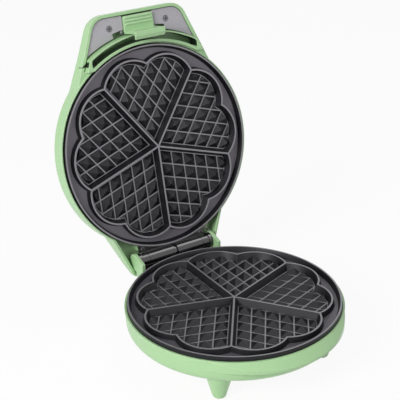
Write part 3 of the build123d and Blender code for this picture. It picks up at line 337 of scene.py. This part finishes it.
def element_sheath():
    """The heating rings' sheath: dull grey-brown metal with blued and straw heat marks."""
    look = Look("heated_sheath")
    marks = look.noise(40, 4, 0.6)
    scale = look.noise(900, 3, 0.6)
    tint = look.mix(look.span(marks, 0.35, 0.62), (0.20, 0.175, 0.165), (0.115, 0.12, 0.16))
    tint = look.mix(look.span(marks, 0.58, 0.74), tint, (0.30, 0.22, 0.13))
    look.own(Base_Color=look.mix(look.span(scale, 0.45, 0.7, 0, 0.5), tint, (0.09, 0.085, 0.085)))
    look.own(Metallic=0.75, Roughness=look.span(scale, 0.3, 0.7, 0.42, 0.62))
    look.bump(scale, 0.00006, 0.4)
    return look.done()


def moulded(name, low, high, rough, scale=900, wear=(0.5, 0.5, 0.5), wear_by=0.25):
    """Plain moulded rubber, phenolic, nylon or ceramic with its own grain and handled edges."""
    look = Look(name)
    grain = look.noise(scale, 3, 0.65)
    cloud = look.noise(45, 3)
    base = look.mix(look.maths("MULTIPLY", look.maths("ADD", grain, cloud), 0.5), low, high)
    look.own(Base_Color=look.mix(look.maths("MULTIPLY", look.edges(0.0005), wear_by), base, wear))
    look.own(Roughness=look.span(cloud, 0.3, 0.7, rough, rough + 0.14))
    look.softened(0.0003)
    look.bump(grain, 0.00006, 0.4)
    return look.done()


def braided(name, low, high):
    """Glass-fibre sleeve: a fine plait round the wire."""
    look = Look(name)
    one = look.noise(1800, 1, 0.5, look.stretched(1, 1.3, 0.35))
    two = look.noise(1500, 1, 0.5, look.stretched(0.35, 1, 1.3))
    plait = look.maths("MAXIMUM", one, two)
    look.own(Base_Color=look.mix(look.span(plait, 0.45, 0.7), low, high), Roughness=0.72)
    look.own(Sheen_Weight=0.2)
    look.bump(plait, 0.0002, 0.5)
    return look.done()


def lens(name, deep, bright):
    """A small coloured lamp window with a faint inner grain."""
    look = Look(name)
    inner = look.cells(1400)
    look.own(Base_Color=look.mix(look.span(inner, 0.05, 0.6), bright, deep))
    look.own(Roughness=look.span(look.noise(300, 2), 0.3, 0.7, 0.06, 0.14))
    look.own(Transmission_Weight=0.35, IOR=1.49, Coat_Weight=0.4)
    look.softened(0.0003)
    look.bump(inner, 0.00008, 0.2)
    return look.done()


green = green_plastic()
centre_of_lid = lid_point(0, 0, 0)
front_of_lid = (lid_point(0, -1000, 0) - centre_of_lid).normalized()
# The lid's plastic carries painted shade, near black, inside the slot between the dome and the handle.
lid_green = green_plastic("pastel_green_lid", (centre_of_lid, -up_of_upper, front_of_lid))
lower_plate_at = up_of_lower.dot(base_point(0, 0, 0))
upper_plate_at = up_of_upper.dot(lid_point(0, 0, upper_plate_z))
# Lit and shaded copies of one coating: the upper plate is painted brighter and the lower darker, and the
# upper gets more painted edge highlight.
lower_coating = non_stick("coated_lower_plate", up_of_lower, lower_plate_at, 0.48, 0.14)
upper_coating = non_stick("coated_upper_plate", up_of_upper, upper_plate_at, 1.60, 0.32)
cover_grey = painted_cover()
black_gloss = enamel_black("black_enamel_barrel", 0.12)
black_leaf = enamel_black("black_enamel_leaf", 0.16, (0.016, 0.016, 0.018))
bright_sheet = plated_steel("bright_reflector_sheet", (0.72, 0.72, 0.73), 0.20, (0.2, 4, 1))
zinc = plated_steel("zinc_plated_steel", (0.56, 0.57, 0.58), 0.28)
screw_steel = screw_head("nickel_screw_steel", (0.30, 0.29, 0.31), 0.42)
black_screw = enamel_black("black_oxide_screw", 0.26, (0.035, 0.034, 0.036))
spring_steel = plated_steel("spring_wire", (0.42, 0.42, 0.43), 0.22)
sheath = element_sheath()
rubber = moulded("pad_rubber", (0.030, 0.030, 0.031), (0.055, 0.054, 0.055), 0.62, 1300)
grommet_black = moulded("grommet_rubber", (0.012, 0.012, 0.012), (0.026, 0.026, 0.027), 0.50, 1100)
phenolic = moulded("phenolic_body", (0.030, 0.020, 0.014), (0.050, 0.034, 0.024), 0.38, 1000)
nylon = moulded("terminal_nylon", (0.52, 0.50, 0.44), (0.62, 0.60, 0.54), 0.40, 800, (0.75, 0.73, 0.68))
fuse_case = moulded("fuse_sleeve", (0.50, 0.44, 0.30), (0.66, 0.60, 0.44), 0.45, 900)
lamp_nylon = moulded("lamp_holder_nylon", (0.60, 0.60, 0.57), (0.72, 0.72, 0.69), 0.40, 800)
white_sleeve = braided("white_glass_sleeve", (0.42, 0.40, 0.36), (0.70, 0.68, 0.62))
lead_sleeve = braided("grey_glass_sleeve", (0.16, 0.155, 0.15), (0.34, 0.33, 0.32))
red_window = lens("red_lamp_window", (0.30, 0.010, 0.008), (0.62, 0.045, 0.030))
green_window = lens("green_lamp_window", (0.015, 0.22, 0.035), (0.06, 0.50, 0.11))

dress = {
    "base_shell": green,
    "lid_shell": lid_green,
    "latch": green,
    "foot_pads": rubber,
    "lower_baking_plate": lower_coating,
    "upper_baking_plate": upper_coating,
    "lower_heating_element": sheath,
    "upper_heating_element": sheath,
    "lower_element_clamps": bright_sheet,
    "upper_element_clamps": bright_sheet,
    "lower_heat_reflector": bright_sheet,
    "upper_heat_reflector": bright_sheet,
    "upper_plate_clips": zinc,
    "lower_clamp_screws": zinc,
    "upper_clamp_screws": zinc,
    "lower_plate_screws": zinc,
    "upper_plate_screws": zinc,
    "thermostat_screws": zinc,
    "lamp_holder_screw": zinc,
    "base_thermostat": phenolic,
    "thermal_fuse": fuse_case,
    "terminal_block": nylon,
    "base_wiring": white_sleeve,
    "lid_wiring": white_sleeve,
    "hinge_lead": lead_sleeve,
    "cord_grommet": grommet_black,
    "hinge_base_leaf": black_leaf,
    "hinge_lid_leaf": black_gloss,
    "hinge_base_screws": black_screw,
    "hinge_lid_screws": black_screw,
    "hinge_pin": zinc,
    "handle_cover": cover_grey,
    "handle_cover_screws": screw_steel,
    "latch_pin": zinc,
    "latch_spring": spring_steel,
    "power_lamp_lens": red_window,
    "ready_lamp_lens": green_window,
    "lamp_holder": lamp_nylon,
}
for name, node in nodes.items():
    node.data.materials.clear()
    node.data.materials.append(dress[name])


def pale_floor():
    """White floor that keeps the shadow and glows only where the camera or a gloss sees it."""
    mesh = bpy.data.meshes.new("floor")
    form = bmesh.new()
    bmesh.ops.create_grid(form, x_segments=8, y_segments=8, size=6)
    form.to_mesh(mesh)
    form.free()
    floor = bpy.data.objects.new("floor", mesh)
    bpy.context.scene.collection.objects.link(floor)
    look = Look("pale_floor")
    look.own(Base_Color=look.mix(look.noise(2, 2), (0.86, 0.86, 0.86), (0.89, 0.89, 0.89)))
    look.own(Roughness=0.8, Specular_IOR_Level=0.2)
    glow = look.tree.nodes.new("ShaderNodeEmission")
    path = look.tree.nodes.new("ShaderNodeLightPath")
    seen = look.maths("MAXIMUM", path.outputs["Is Camera Ray"], path.outputs["Is Glossy Ray"])
    blend = look.tree.nodes.new("ShaderNodeMixShader")
    look.put(blend, 0, look.maths("MULTIPLY", seen, 0.92))
    look.put(blend, 1, look.shader.outputs[0])
    look.put(blend, 2, glow.outputs[0])
    look.put(look.tree.nodes["Material Output"], "Surface", blend.outputs[0])
    mesh.materials.append(look.material)


def white_room():
    """Even white light all round, with a white background behind the part."""
    world = bpy.data.worlds.new("room")
    bpy.context.scene.world = world
    world.use_nodes = True
    tree = world.node_tree
    ground = tree.nodes["Background"]
    ground.inputs["Color"].default_value = (1, 1, 1, 1)
    ground.inputs["Strength"].default_value = 0.24
    seen_ground = tree.nodes.new("ShaderNodeBackground")
    seen_ground.inputs["Color"].default_value = (1, 1, 1, 1)
    seen_ground.inputs["Strength"].default_value = 1.0
    path = tree.nodes.new("ShaderNodeLightPath")
    blend = tree.nodes.new("ShaderNodeMixShader")
    most = tree.nodes.new("ShaderNodeMath")
    most.operation = "MAXIMUM"
    tree.links.new(path.outputs["Is Camera Ray"], most.inputs[0])
    tree.links.new(path.outputs["Is Glossy Ray"], most.inputs[1])
    tree.links.new(most.outputs[0], blend.inputs[0])
    tree.links.new(ground.outputs[0], blend.inputs[1])
    tree.links.new(seen_ground.outputs[0], blend.inputs[2])
    tree.links.new(blend.outputs[0], tree.nodes["World Output"].inputs["Surface"])


def soft_lamps():
    """A window light from the left and two weak fills, all aimed at the middle of the part."""
    target = Vector((0, 0, 0.12))
    for name, place, size, power in (
        ("window", (-1.40, -0.45, 1.00), 0.7, 24.0),
        ("front", (-0.10, -1.50, 0.80), 0.8, 3.5),
        ("right", (0.60, 0.00, 1.50), 0.8, 4.5),
    ):
        lamp = bpy.data.lights.new(name, "AREA")
        lamp.size = size
        lamp.energy = power
        holder = bpy.data.objects.new(name, lamp)
        holder.location = place
        aim = target - Vector(place)
        holder.rotation_euler = aim.to_track_quat("-Z", "Y").to_euler()
        bpy.context.scene.collection.objects.link(holder)


def photo_camera():
    """The photograph's view, found from the plates' rims, the hearts and the screws."""
    azimuth = math.radians(-32.0477)
    height = math.radians(25.8082)
    roll = math.radians(-0.9769)
    back = Vector(
        (math.sin(azimuth) * math.cos(height), -math.cos(azimuth) * math.cos(height), math.sin(height))
    )
    right = Vector((math.cos(azimuth), math.sin(azimuth), 0))
    up = right.cross(-back)
    turned_right = right * math.cos(roll) + up * math.sin(roll)
    turned_up = up * math.cos(roll) - right * math.sin(roll)
    data = bpy.data.cameras.new("photo")
    data.sensor_fit = "HORIZONTAL"
    data.sensor_width = 36
    data.lens = 98.636
    data.clip_start = 0.05
    data.clip_end = 30
    camera = bpy.data.objects.new("photo", data)
    turn = Matrix((turned_right, turned_up, back)).transposed().to_4x4()
    place = base_point(-466.89, -691.43, 502.58)
    camera.matrix_world = Matrix.Translation(place) @ turn
    bpy.context.scene.collection.objects.link(camera)
    bpy.context.scene.camera = camera


pale_floor()
white_room()
soft_lamps()
photo_camera()
bpy.context.scene.view_settings.view_transform = "Standard"
